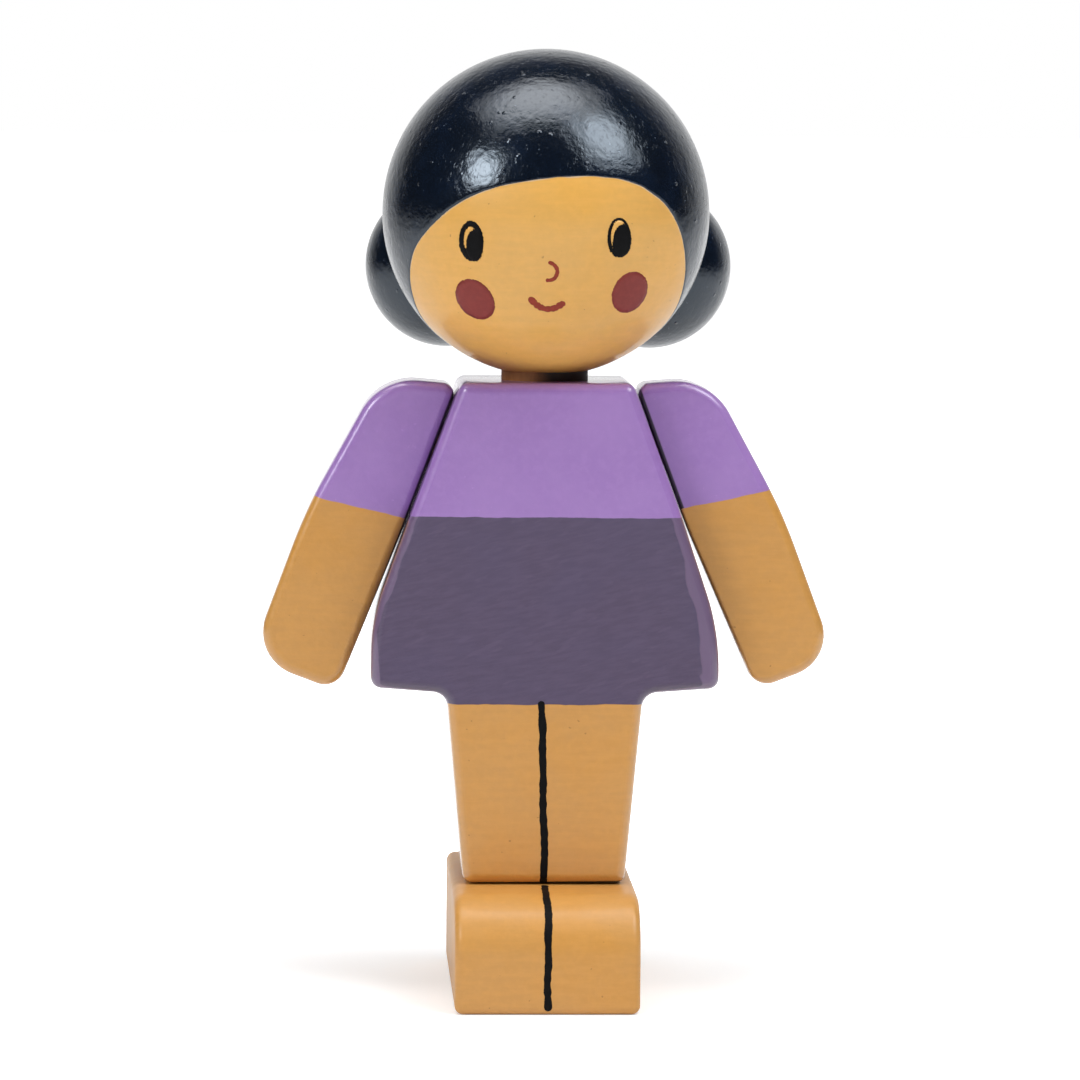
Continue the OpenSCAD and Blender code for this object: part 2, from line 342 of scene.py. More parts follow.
def edge_glaze(net, coat):
    """Weight and roughness of a clear coat that is thicker and smoother on the sides of a board."""
    face = net.step(net.rim(), 0.3 * MM, 0.9 * MM)
    return net.between(face, 1.0, coat), net.between(face, 0.1, 0.3)


def above_line(net, height, line):
    """Share above a hand-painted line at a height, with a soft edge."""
    level = net.plus(height, net.waver(420, 0.3 * MM))
    return net.step(level, line + 0.12 * MM, line + 0.18 * MM)


def skin_material(name, base):
    """Satin skin paint."""
    net = new_material(name, base)
    rough = net.between(net.noise(500), 0.38, 0.56)
    return net.finish(skin_colour(net, base), rough, edge_bump(net), coat=0.15)


def face_material():
    """Skin of the face, with a thin pale painted highlight along the raised edge of the hair paint."""
    base = colours().face
    net = new_material("face_paint", base)
    # Painted highlight: a thin pale line on the skin next to the hairline
    inside = net.plus(net.rim(), net.waver(700, 0.3 * MM))
    hairline_highlight = net.step(inside, 0.26 * MM, 0.16 * MM)
    tone = net.layer(skin_colour(net, base), srgb(214, 190, 160), hairline_highlight, 0.7)
    rough = net.between(net.noise(500), 0.36, 0.54)
    return net.finish(tone, rough, fine_bump(net), coat=0.3)


def hair_material():
    """Glossy hair paint with dust, pimples and pores of the wood."""
    base = colours().hair
    net = new_material("hair_paint", base)
    tone = net.blend(net.step(net.noise(260, 4), 0.4, 0.7), base, tinted(base, 1.5, 1.6, 1.7))
    dust = net.step(net.noise(2600, 1), 0.76, 0.8)
    tone = net.layer(tone, srgb(120, 135, 150), dust, 0.35)
    swell = net.bump(net.noise(420, 2), 0.06 * MM)
    peel = net.bump(net.noise(1500, 3, 0.55), 0.04 * MM, swell)
    pores = net.step(net.noise(2400, 3, 0.6, stretch=(1, 1, 3.5)), 0.28, 0.42)
    normal = net.bump(pores, 0.01 * MM, peel)
    cells = net.add("ShaderNodeTexVoronoi", {"Vector": net.place(), "Scale": 820.0})
    pimples = net.times(net.step(cells, 0.2, 0.05), net.step(net.noise(700, 1), 0.5, 0.6))
    normal = net.bump(pimples, 0.05 * MM, normal)
    rough = net.between(net.noise(800), 0.12, 0.2)
    return net.finish(tone, rough, normal, specular=0.8, tint=(0.8, 0.9, 1, 1))


def neck_material():
    """Neck peg paint darkened as painted shade under the head, and darker still towards the doll's left.
    """
    # The neck colour is skin paint darkened as painted shade under the head
    base = colours().neck
    net = new_material("neck_paint", base)
    grain = net.step(net.noise(2600, stretch=(1, 1, 6)), 0.3, 0.7)
    tone = net.blend(grain, tinted(base, 0.8, 0.76, 0.7), base)
    # Darker towards the doll's left, down to near black
    aside = net.plus(net.axis(net.place(), 0), net.waver(500, 1.2 * MM))
    dark = net.step(aside, -1.6 * MM, 1.2 * MM)
    return net.finish(net.blend(dark, tone, tinted(base, 0.05, 0.05, 0.06)), 0.6, fine_bump(net))


def flat_paint(name, base, rough, mottled, specular):
    """Thin printed paint with slight mottling."""
    net = new_material(name, base)
    share = net.step(net.noise(2200, 4, 0.6), 0.35, 0.75)
    low = tinted(base, 1 - mottled, 1 - mottled, 1 - mottled)
    high = tinted(base, 1 + mottled, 1 + 1.5 * mottled, 1 + 1.5 * mottled)
    return net.finish(net.blend(share, low, high), rough, fine_bump(net), specular=specular)


def dowel_material():
    """Bare wooden dowel with straight grain."""
    base = colours().dowel
    net = new_material("bare_dowel", base)
    grain = net.noise(2200, 4, 0.6, stretch=(1, 1, 16))
    tone = net.blend(net.step(grain, 0.35, 0.7), tinted(base, 0.8, 0.74, 0.66), base)
    return net.finish(tone, 0.62, net.bump(grain, 0.02 * MM))


def top_colour(net):
    """Satin paint of the dress top."""
    base = colours().top
    cloud = net.step(net.noise(220, 4), 0.35, 0.7)
    tone = net.blend(cloud, tinted(base, 0.97, 0.95, 0.98), tinted(base, 1.03, 1.04, 1.02))
    mottle = net.step(net.noise(1300, 4, 0.6), 0.4, 0.72)
    tone = net.layer(tone, tinted(base, 1.1, 1.1, 1.06), mottle, 0.6)
    specks = net.step(net.noise(1700, 1), 0.75, 0.79)
    return net.layer(tone, tinted(base, 1.4, 1.45, 1.25), specks, 0.4)


def skirt_colour(net):
    """Matte skirt paint: slanting grain on the flat faces, a lighter uneven band on the edges."""
    base = colours().skirt
    grain = net.noise(2300, 5, 0.6, stretch=(5, 1, 1), turn=(0, radians(-12), 0))
    lit = net.step(grain, 0.34, 0.7)
    tone = net.blend(lit, tinted(base, 0.91, 0.91, 0.92), tinted(base, 1.08, 1.07, 1.08))
    strokes = net.noise(1300, stretch=(4, 1, 1), turn=(0, radians(-22), 0))
    tone = net.layer(tone, tinted(base, 1.22, 1.2, 1.2), net.step(strokes, 0.6, 0.68), 0.5)
    cloud = net.step(net.noise(130), 0.38, 0.66)
    tone = net.layer(tone, tinted(base, 0.94, 1.0, 1.08), cloud, 0.3)
    where = net.place()
    across = net.axis(where, 0)
    height = net.axis(where, 2)
    rim = net.rim()
    # Near the hem the band follows the sides, not the hem
    hem_z = sizes().hem_z
    hem = net.step(height, hem_z + 2.6 * MM, hem_z + 1.0 * MM)
    hem = net.times(hem, net.step(rim, 0.1 * MM, 0.5 * MM))
    aside = net.minus(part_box("body_board")[1].x, net.math("ABSOLUTE", across))
    inset = net.between(hem, rim, aside)
    # The band is wider at the doll's left, and more so further down
    low = net.step(height, sizes().waist_z, hem_z + 4 * MM)
    left = net.times(net.math("MAXIMUM", across), net.between(low, 0.018, 0.043))
    inset = net.minus(inset, net.plus(left, net.times(across, 0.01)))
    face = net.step(net.plus(inset, net.waver(190, 1.6 * MM)), 1.5 * MM, 1.68 * MM)
    return net.blend(face, colours().skirt_edge, tone), grain, face


def body_material():
    """Body paint: dress top, skirt and legs with painted lines between them, and a painted shadow where
    the legs meet the foot block.
    """
    net = new_material("dress_paint", colours().top)
    where = net.place()
    height = net.axis(where, 2)
    top = above_line(net, height, sizes().waist_z)
    skirt = above_line(net, height, sizes().leg_paint_z)
    cloth, grain, face = skirt_colour(net)
    tone = net.blend(skirt, skin_colour(net, colours().skin), cloth)
    tone = net.blend(top, tone, top_colour(net))
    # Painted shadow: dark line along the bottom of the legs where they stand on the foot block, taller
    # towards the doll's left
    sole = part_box("body_board")[0].z
    sloped = net.minus(height, net.times(net.axis(where, 0), 0.015))
    seam_shadow = net.step(sloped, sole + 0.26 * MM, sole + 0.16 * MM)
    tone = net.blend(seam_shadow, tone, colours().gap_shade)
    matte = net.times(face, net.minus(skirt, top))
    rough = net.between(matte, net.between(net.noise(700), 0.26, 0.46), 0.6)
    pores = net.bump(net.times(grain, matte), 0.07 * MM)
    coat, coat_rough = edge_glaze(net, net.between(matte, net.between(top, 0.2, 0.5), 0.0))
    specular = net.between(matte, 0.5, 0.3)
    return net.finish(tone, rough, edge_bump(net, pores), coat, specular, coat_rough=coat_rough)


def arm_material(side, name):
    """Arm paint: sleeve above a slanting line, skin below it, and a dark band of painted shade on the
    inner side next to the torso.
    """
    net = new_material(name, colours().skin)
    across, up, pivot = shoulder_axes(side)
    lean, shorter, shade_reach = (8.5, 1.05, 0.5) if side > 0 else (7.0, 0.0, 0.25)
    line = swing(up, across, radians(lean))
    where = net.place()
    height = net.measure("DOT_PRODUCT", where, line)
    sleeve = above_line(net, height, line.dot(pivot - up * (sizes().sleeve_drop - shorter * MM)))
    tone = net.blend(sleeve, skin_colour(net, colours().skin), top_colour(net))
    rough = net.between(net.noise(700), 0.26, 0.46)
    aside = net.measure("DOT_PRODUCT", where, across)
    plane = across.dot(pivot) + sizes().arm_gap
    # Painted shade: dark band on the inner side next to the torso, wider on the sleeve, most of all on
    # the doll's left arm
    wide = net.between(sleeve, 0.2 * MM, shade_reach * MM)
    gap_shade = net.step(net.minus(aside, wide), plane, plane - 0.16 * MM)
    tone = net.blend(gap_shade, tone, colours().gap_shade)
    coat, coat_rough = edge_glaze(net, net.between(sleeve, 0.2, 0.5))
    return net.finish(tone, rough, edge_bump(net), coat, coat_rough=coat_rough)


def new_object(name, points, faces, materials, body, replaces=(), rim=None, zones=None):
    """Smooth piece in its place that rides on a body, with rim kept as an attribute of its points."""
    mesh = bpy.data.meshes.new(name)
    mesh.from_pydata(points, [], faces)
    for material in materials:
        mesh.materials.append(material)
    if rim:
        mesh.attributes.new("rim", "FLOAT", "POINT").data.foreach_set("value", rim)
    if zones:
        mesh.polygons.foreach_set("material_index", zones)
    mesh.polygons.foreach_set("use_smooth", [True] * len(faces))
    if mesh.validate():
        raise RuntimeError(f"{name} has faces that were not valid")
    mesh.update()
    obj = bpy.data.objects.new(name, mesh)
    bpy.context.collection.objects.link(obj)
    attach(obj, body)
    if replaces:
        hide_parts(*replaces)


def ring_faces(rings, count):
    """Quads between rings of equally many points."""
    return [(start + k, start + (k + 1) % count, start + count + (k + 1) % count, start + count + k)
            for start in range(0, (rings - 1) * count, count) for k in range(count)]


def closed_faces(rings, count):
    """Faces of a form with a first point, rings of equally many points and a last point."""
    faces = [(0, 1 + k, 1 + (k + 1) % count) for k in range(count)]
    faces += [tuple(1 + k for k in reversed(face)) for face in ring_faces(rings, count)]
    last = 1 + (rings - 1) * count
    return faces + [(last + (k + 1) % count, last + k, last + count) for k in range(count)]


def side_normal(side):
    """Outward normal of a side of an outline."""
    along = side.normalized()
    return Vector((along.y, -along.x))


def inset_point(before, corner, after, inset):
    """Corner moved inwards with both its sides."""
    here = Vector(corner[:2])
    normal_in = side_normal(here - Vector(before[:2]))
    normal_out = side_normal(Vector(after[:2]) - here)
    return here - inset * (normal_in + normal_out) / (1 + normal_in.dot(normal_out))


def rounded_corner(before, corner, after, inset, share, room_left):
    """Arc that rounds a corner of an outline drawn inwards by inset. Corners are (x, y, radius).

    The radius keeps to a share of the sides, and the drawn arc to the room that the inset leaves.
    """
    steps = 12
    here = Vector(corner[:2])
    side_in = here - Vector(before[:2])
    side_out = Vector(after[:2]) - here
    normal_in = side_normal(side_in)
    turn = atan2(side_in.cross(side_out), side_in.dot(side_out))
    bend = copysign(1, turn)
    slack = tan(abs(turn) / 2)
    room = share * min(side_in.length, side_out.length)
    radius = min(min(corner[2], room / slack) - bend * inset, room_left / slack)
    radius = max(radius, 0.05 * MM)
    point = inset_point(before, corner, after, inset)
    centre = point - side_in.normalized() * radius * slack - normal_in * bend * radius
    arc = []
    for k in range(steps + 1):
        part = turn * k / steps
        spoke = Vector((normal_in.x * cos(part) - normal_in.y * sin(part),
                        normal_in.x * sin(part) + normal_in.y * cos(part)))
        arc.append(centre + bend * radius * spoke)
    return arc


def rounded_outline(corners, inset, share):
    """Whole outline with rounded corners, drawn inwards by inset."""
    count = len(corners)
    trios = [(corners[k - 1], corners[k], corners[(k + 1) % count]) for k in range(count)]
    drawn = [inset_point(*trio, inset) for trio in trios]
    points = []
    for k, trio in enumerate(trios):
        left = min((drawn[k] - drawn[k - 1]).length, (drawn[(k + 1) % count] - drawn[k]).length)
        points += rounded_corner(*trio, inset, share, 0.9 * left)
    return points


def rounded_board(name, corners, thickness, edge_r, place, margins, material, body, replaces,
                  share=0.49, crisp=0.0):
    """Board with quarter-round edges, in place of a CAD node.

    Margins set rings on its flat faces, in millimetres. Its edge at low x is narrower by a share, crisp.
    """
    steps = 8
    noise.seed_set(WOBBLE_SEED)
    half = thickness / 2
    rings = [(edge_r + extra * MM, -half) for extra in margins]
    for k in range(steps + 1):
        part = pi / 2 * k / steps
        rings.append((edge_r * (1 - sin(part)), -half + edge_r * (1 - cos(part))))
    rings += [(inset, -depth) for inset, depth in reversed(rings)]
    points = []
    rim = []
    start = min(corner[0] for corner in corners)
    reach = (max(corner[0] for corner in corners) - start) / 2
    for inset, depth in rings:
        outline = rounded_outline(corners, inset, share)
        for spot in outline:
            spot.x -= crisp * min(inset, edge_r) * max(0, 1 - (spot.x - start - inset) / reach)
            point = place @ Vector((spot.x, spot.y, depth))
            points.append(point + noise.noise_vector(point * 260) * sizes().wobble)
            rim.append(inset)
    count = len(outline)
    last = (len(rings) - 1) * count
    faces = ring_faces(len(rings), count)
    faces.append(tuple(range(count - 1, -1, -1)))
    faces.append(tuple(range(last, last + count)))
    if place.determinant() < 0:
        faces = [tuple(reversed(face)) for face in faces]
    new_object(name, points, faces, [material], body, (replaces,), rim)


def axes(across, up, front, origin=(0, 0, 0)):
    """Matrix with these axes and origin."""
    matrix = Matrix((across, up, front)).transposed().to_4x4()
    matrix.translation = origin
    return matrix


def swing(first, second, turn):
    """Direction at an angle from the first of two directions towards the second."""
    return first * cos(turn) + second * sin(turn)


def looking(spot, aim, roll=0.0):
    """Matrix of a light or a camera at spot that looks at aim."""
    back = (Vector(spot) - Vector(aim)).normalized()
    level = Vector((0, 1, 0)) if back.z > 0.9 else Vector((0, 0, 1))
    right = level.cross(back).normalized()
    up = back.cross(right)
    return axes(swing(right, up, roll), swing(up, -right, roll), back, spot)


def shoulder_axes(side):
    """Outward axis, upward axis and joint of a shoulder, side 1 for the doll's left."""
    s = sizes()
    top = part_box("body_board")[1].z
    slant = s.side_angle
    across = Vector((side * cos(slant), 0, sin(slant)))
    up = Vector((-side * sin(slant), 0, cos(slant)))
    out = s.shoulder_w / 2 + s.pivot_drop * sin(slant)
    return across, up, Vector((side * out, 0, top - s.pivot_drop * cos(slant)))


def head_ball():
    """Centre and radius of the head."""
    low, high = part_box("head")
    radius = (high.x - low.x) / 2
    return Vector(((low.x + high.x) / 2, (low.y + high.y) / 2, high.z - radius)), radius


def on_ball(azimuth, elevation):
    """Direction on the head, in degrees, turned with the head."""
    a = radians(azimuth)
    e = radians(elevation)
    way = Vector((sin(a) * cos(e), -cos(a) * cos(e), sin(e)))
    way.rotate(Euler((0, 0, sizes().head_turn)))
    return way


def tangents(way):
    """Rightward and upward directions on the ball."""
    right = Vector((0, 0, 1)).cross(way).normalized()
    return right, way.cross(right)


def smooth_path(points, steps=24):
    """Points on a smooth curve through control points, with its ends held."""
    path = []
    padded = [points[0], *points, points[-1]]
    for before, start, end, after in zip(padded, padded[1:], padded[2:], padded[3:]):
        tangent_start = (end - before) / 2
        tangent_end = (after - start) / 2
        for n in range(steps):
            t = n / steps
            path.append(start * (2 * t ** 3 - 3 * t ** 2 + 1) + end * (3 * t ** 2 - 2 * t ** 3)
                        + tangent_start * (t ** 3 - 2 * t ** 2 + t) + tangent_end * (t ** 3 - t ** 2))
    path.append(points[-1])
    return path


def hairline_at(axis, turns):
    """Angle of the slightly uneven hairline from the face axis, at rising turns round it."""
    right, up = tangents(axis)
    loop = [on_ball(*pair) for pair in HAIRLINE]
    marks = []
    for way in smooth_path(loop[-2:] + loop + loop[:3]):
        way = way.normalized()
        marks.append((atan2(way.dot(up), way.dot(right)), axis.angle(way)))
    marks.sort()
    marks = [(marks[-1][0] - tau, marks[-1][1])] + marks + [(marks[0][0] + tau, marks[0][1])]
    angles = []
    nearest = 0
    for turn in turns:
        while marks[nearest + 1][0] < turn:
            nearest += 1
        first, second = marks[nearest], marks[nearest + 1]
        share = min((turn - first[0]) / max(second[0] - first[0], 1e-9), 1)
        uneven = 0.0035 * noise.noise(Vector((cos(turn), sin(turn), 0.3)) * 9)
        angles.append(first[1] + (second[1] - first[1]) * share + uneven)
    return angles


class DOLL_OT_head(bpy.types.Operator):
    """Build the ball head, with its hair and face as two coats of paint that meet at the hairline"""

    bl_idname = "doll.head"
    bl_label = "Head"

    def execute(self, context):
        centre, radius = head_ball()
        axis = on_ball(*FACE_MIDDLE)
        right, up = tangents(axis)
        count = 240
        skin_rings = 44
        hair_rings = 72
        parting = 0.002
        coat = sizes().paint * 1.6
        turns = [-pi + tau * k / count for k in range(count)]
        edge = hairline_at(axis, turns)
        shares = [("skin", k / skin_rings) for k in range(1, skin_rings + 1)]
        shares += [("hair", (k / hair_rings) ** 1.15) for k in range(hair_rings)]
        points = [centre + axis * radius]
        rim = [1.0]
        for zone, share in shares:
            for turn, line in zip(turns, edge):
                lean = line * share
                size = radius
                if zone == "hair":
                    lean = line + parting + (pi - line - parting) * share
                    size = radius + coat * (0.4 if share == 0 else 1)
                way = swing(axis, swing(right, up, turn), lean)
                points.append(centre + way * size)
                rim.append(abs(lean - line) * radius)
        points.append(centre - axis * (radius + coat))
        rim.append(1.0)
        faces = closed_faces(len(shares), count)
        zones = [0] * (count * skin_rings) + [1] * (len(faces) - count * skin_rings)
        materials = [face_material(), context.scene.doll_hair]
        new_object("ball_head", points, faces, materials, "head", ("head",), rim, zones)
        return {"FINISHED"}


def lens_on_head(name, spot, half_long, half_short, lean, level, material):
    """Closed thin oval of paint on the head. Sizes are in millimetres, angles in degrees."""
    centre, radius = head_ball()
    way = on_ball(*spot)
    right, up = tangents(way)
    count = 160
    rings = 5
    tilt = radians(lean)
    coat = sizes().paint * level
    section = [(k / rings, coat) for k in range(1, rings)] + [(1, coat * 0.6), (1, -0.06 * MM)]
    points = [centre + way * (radius + coat)]
    for share, height in section:
        for k in range(count):
            turn = tau * k / count
            around = Vector((cos(turn), sin(turn), spot[0]))
            wave = 1 + 0.012 * noise.noise(around * 4) + 0.07 * noise.noise(around * 10) / half_short
            x = half_short * MM * share * wave * cos(turn)
            y = half_long * MM * share * wave * sin(turn)
            across = x * cos(tilt) + y * sin(tilt)
            rise = y * cos(tilt) - x * sin(tilt)
            foot = way * radius + right * across + up * rise
            points.append(centre + foot.normalized() * (radius + height))
    points.append(centre + way * (radius - 0.25 * MM))
    faces = closed_faces(len(section), count)
    new_object(name, points, faces, [material], "head")


def stroke_on_head(name, spots, width, material):
    """Closed thin brush stroke on the head along control points, with round ends."""
    centre, radius = head_ball()
    path = [way.normalized() for way in smooth_path([on_ball(*spot) for spot in spots])]
    spans = [0.0]
    for first, second in zip(path, path[1:]):
        spans.append(spans[-1] + (second - first).length * radius)
    half = width * MM / 2
    coat = sizes().paint * 1.2
    across = (-1, -0.8, -0.4, 0, 0.4, 0.8, 1)
    section = [(share, coat * (0.4 + 0.6 * (1 - share * share))) for share in across]
    section += [(1, -0.05 * MM), (-1, -0.05 * MM)]
    points = []
    for k, way in enumerate(path):
        ahead = (path[min(k + 1, len(path) - 1)] - path[max(k - 1, 0)]).normalized()
        side = way.cross(ahead).normalized()
        near = min(spans[k], spans[-1] - spans[k]) / half
        room = sqrt(max(1 - (1 - min(near, 1)) ** 2, 0.09))
        room *= 1 + 0.3 * noise.noise(Vector((spans[k] / MM * 4.5, spots[0][0], 0)))
        for share, height in section:
            foot = way * radius + side * half * room * share
            points.append(centre + foot.normalized() * (radius + height))
    count = len(section)
    faces = [tuple(reversed(face)) for face in ring_faces(len(path), count)]
    faces.append(tuple(range(count)))
    faces.append(tuple(range(len(points) - 1, len(points) - 1 - count, -1)))
    new_object(name, points, faces, [material], "head")


class DOLL_OT_face(bpy.types.Operator):
    """Build the painted face: eyes, cheeks, nose and mouth"""

    bl_idname = "doll.face"
    bl_label = "Face"

    def execute(self, context):
        ink = context.scene.doll_ink
        skin = skin_material("eye_light", colours().face)
        cheek = flat_paint("cheek_paint", colours().cheek, rough=0.5, mottled=0.07, specular=0.3)
        lip = flat_paint("lip_paint", colours().lip, rough=0.5, mottled=0.12, specular=0.3)
        ovals = (
            ("right_eye", (-25.9, -8.5), 1.85, 1.24, 4, 1, ink),
            ("right_eye_light", (-25.9, -8.2), 1.25, 0.74, 3, 1.5, skin),
            ("right_eye_pupil", (-24.7, -9.8), 1.48, 0.87, 4, 2, ink),
            ("left_eye", (27.1, -6.8), 1.8, 1.16, -5, 1, ink),
            ("left_eye_light", (27.1, -6.5), 1.48, 0.86, -5, 1.5, skin),
            ("left_eye_pupil", (28.2, -7.8), 1.55, 0.98, -4, 2, ink),
            ("right_cheek", (-28.5, -30.3), 2.17, 1.98, 3, 1, cheek),
            ("left_cheek", (35.9, -27.1), 2.2, 1.9, -27, 1, cheek),
        )
        for oval in ovals:
            lens_on_head(*oval)
        stroke_on_head("nose", NOSE, 0.36, lip)
        stroke_on_head("mouth", MOUTH, 0.64, lip)
        return {"FINISHED"}


class DOLL_OT_bunches(bpy.types.Operator):
    """Build both hair bunches: balls with a hollow seat that fits the head"""

    bl_idname = "doll.bunches"
    bl_label = "Bunches"

    def execute(self, context):
        for side, name in ((1, "left_bunch"), (-1, "right_bunch")):
            self.build(context, name, side)
        return {"FINISHED"}

    def build(self, context, name, side):
        """One bunch, turned about its axis from the outer pole to the middle of the seat."""
        s = sizes()
        centre, radius = head_ball()
        seat = radius + s.seat_gap
        ball_r = s.bunch_d / 2
        reach = radius + ball_r - s.bunch_seat
        back = sqrt(reach ** 2 - s.bunch_out ** 2 - s.bunch_drop ** 2)
        axis = Vector((side * s.bunch_out, back, -s.bunch_drop)).normalized()
        axis.rotate(Euler((0, 0, s.head_turn)))
        along = (reach ** 2 + seat ** 2 - ball_r ** 2) / (2 * reach)
        across = sqrt(seat ** 2 - along ** 2)
        meet = atan2(across, along - reach)
        hollow = atan2(across, along)
        outer = 40
        inner = 14
        profile = []
        for k in range(1, outer + 1):
            turn = meet * k / outer
            profile.append((reach + ball_r * cos(turn), ball_r * sin(turn)))
        for k in range(1, inner):
            turn = hollow * (1 - k / inner)
            profile.append((seat * cos(turn), seat * sin(turn)))
        right, up = tangents(axis)
        count = 120
        points = [centre + axis * (reach + ball_r)]
        for far, wide in profile:
            for k in range(count):
                points.append(centre + axis * far + swing(right, up, tau * k / count) * wide)
        points.append(centre + axis * seat)
        faces = closed_faces(len(profile), count)
        materials = [context.scene.doll_hair]
        new_object(name + "_ball", points, faces, materials, "head", (name,))


class DOLL_OT_body(bpy.types.Operator):
    """Build the body board: torso, skirt and legs in one, with a quarter-round edge"""

    bl_idname = "doll.body"
    bl_label = "Body board"

    def execute(self, context):
        s = sizes()
        low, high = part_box("body_board")
        skirt = (high.x - low.x) / 2
        waist = s.shoulder_w / 2 + (high.z - s.waist_z) * tan(s.side_angle)
        left, right = (
            (
                (s.leg_bottom_w / 2, low.z, s.corner_r),
                (s.leg_top_w / 2, s.hem_z, s.hem_fillet_r),
                (skirt, s.hem_z + s.hem_rise, s.corner_r),
                (skirt, s.waist_z - (skirt - waist) / tan(s.side_angle - bend), flare_r),
                (waist, s.waist_z, s.waist_r),
                (s.shoulder_w / 2, high.z, s.corner_r),
            )
            for bend, flare_r in ((s.left_bend, s.left_flare_r), (s.right_bend, s.right_flare_r))
        )
        corners = left + tuple((-x, z, r) for x, z, r in reversed(right))
        place = axes((1, 0, 0), (0, 0, 1), (0, -1, 0))
        margins = (2.4, 1.6, 0.8, 0.2)
        rounded_board("dress_board", corners, high.y - low.y, s.board_edge_r, place, margins,
                      body_material(), "torso", "body_board", share=0.75)
        return {"FINISHED"}


class DOLL_OT_arms(bpy.types.Operator):
    """Build both arms: thin boards with a round hand and a round shoulder"""

    bl_idname = "doll.arms"
    bl_label = "Arms"

    def execute(self, context):
        s = sizes()
        slope = tan(s.side_angle)
        top = s.pivot_drop - s.arm_drop - s.arm_gap * slope
        outer = s.arm_gap + s.arm_w
        outer_bend = 0.52
        inner_bend = 0.45
        for side, name in ((1, "left_arm"), (-1, "right_arm")):
            inner = s.arm_gap if side > 0 else s.arm_gap - s.inner_coat
            corners = (
                (inner + s.hand_taper + side * s.hand_lean, top - s.arm_len, s.hand_inner_r),
                (outer, top - s.arm_len, s.hand_r),
                (outer, top - s.arm_len * outer_bend, s.elbow_r),
                (s.arm_gap + s.arm_top_w, top + s.arm_crown - s.arm_top_w * slope, s.shoulder_r),
                (inner, top, s.arm_tip_r),
                (inner, top - s.arm_len * inner_bend, s.elbow_r),
            )
            low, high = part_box(name)
            across, up, pivot = shoulder_axes(side)
            place = axes(across, up, (0, -1, 0), pivot)
            material = arm_material(side, name + "_paint")
            rounded_board(name + "_board", corners, high.y - low.y, s.arm_edge_r, place, (0.8, 0.2),
                          material, name, name, crisp=0.7 if side > 0 else 0.0)
        return {"FINISHED"}


class DOLL_OT_foot(bpy.types.Operator):
    """Build the foot block with its round toe"""

    bl_idname = "doll.foot"
    bl_label = "Foot block"

    def execute(self, context):
        s = sizes()
        low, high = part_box("foot_block")
        corners = (
            (low.y, low.z, s.foot_corner_r),
            (high.y, low.z, s.foot_corner_r),
            (high.y, high.z, s.foot_corner_r),
            (low.y, high.z, s.toe_r),
        )
        place = axes((0, 1, 0), (0, 0, 1), (1, 0, 0))
        material = skin_material("foot_paint", colours().skin)
        rounded_board("foot", corners, high.x - low.x, s.foot_edge_r, place, (1.6, 0.2), material,
                      "torso", "foot_block")
        return {"FINISHED"}


def line_tree():
    """Node tree that turns a path into a flat hand-drawn line lying on a surface."""
    tree = bpy.data.node_groups.new("drawn_line", "GeometryNodeTree")
    tree.interface.new_socket("Path", in_out="INPUT", socket_type="NodeSocketGeometry")
    for name in ("Width", "Coat", "Sway", "Seed"):
        tree.interface.new_socket(name, in_out="INPUT", socket_type="NodeSocketFloat")
    tree.interface.new_socket("Paint", in_out="INPUT", socket_type="NodeSocketMaterial")
    tree.interface.new_socket("Line", in_out="OUTPUT", socket_type="NodeSocketGeometry")
    net = Net(tree)
    source = tree.nodes.new("NodeGroupInput").outputs
    where = net.add("GeometryNodeInputPosition")

    def uneven(scale, detail):
        """Noise along the path, about zero."""
        inputs = {"Vector": where, "W": source["Seed"], "Scale": scale, "Detail": detail}
        return net.minus(net.add("ShaderNodeTexNoise", inputs, noise_dimensions="4D"), 0.5)

    curve = net.add("GeometryNodeMeshToCurve", {0: source["Path"]})
    curve = net.add("GeometryNodeResampleCurve", {"Curve": curve, "Length": 0.07 * MM}, mode="LENGTH")
    sway = net.times(net.times(uneven(240, 2), source["Sway"]), 3.0)
    offset = net.add("ShaderNodeCombineXYZ", {0: sway})
    curve = net.add("GeometryNodeSetPosition", {"Geometry": curve, "Offset": offset})
    wide = net.plus(net.times(uneven(1300, 3), 0.9), 1.0)
    half = net.times(source["Width"], 0.5)
    # Round ends
    gone = net.add("GeometryNodeSplineParameter", output=1)
    left = net.minus(net.add("GeometryNodeSplineLength"), gone)
    near = net.math("DIVIDE", net.math("MINIMUM", gone, left), half)
    short = net.minus(1.0, net.math("MINIMUM", near, 1.0))
    room = net.minus(1.04, net.times(short, short))
    wide = net.times(wide, net.math("SQRT", room))
    lift = net.add("GeometryNodeInputNamedAttribute", {"Name": "lift"}, data_type="FLOAT_VECTOR")
    curve = net.add("GeometryNodeSetCurveNormal", {"Curve": curve, "Normal": lift}, mode="FREE")
    profile = net.add("GeometryNodeCurvePrimitiveCircle", {"Resolution": 16})
    stretch = net.add("ShaderNodeCombineXYZ", {0: source["Coat"], 1: half, 2: 1.0})
    profile = net.add("GeometryNodeTransform", {"Geometry": profile, "Scale": stretch})
    inputs = {"Curve": curve, "Profile Curve": profile, "Scale": wide, "Fill Caps": True}
    strip = net.add("GeometryNodeCurveToMesh", inputs)
    strip = net.add("GeometryNodeRealizeInstances", {"Geometry": strip})
    strip = net.add("GeometryNodeSetMaterial", {"Geometry": strip, "Material": source["Paint"]})
    net.add("NodeGroupOutput", {"Line": strip})
    return tree


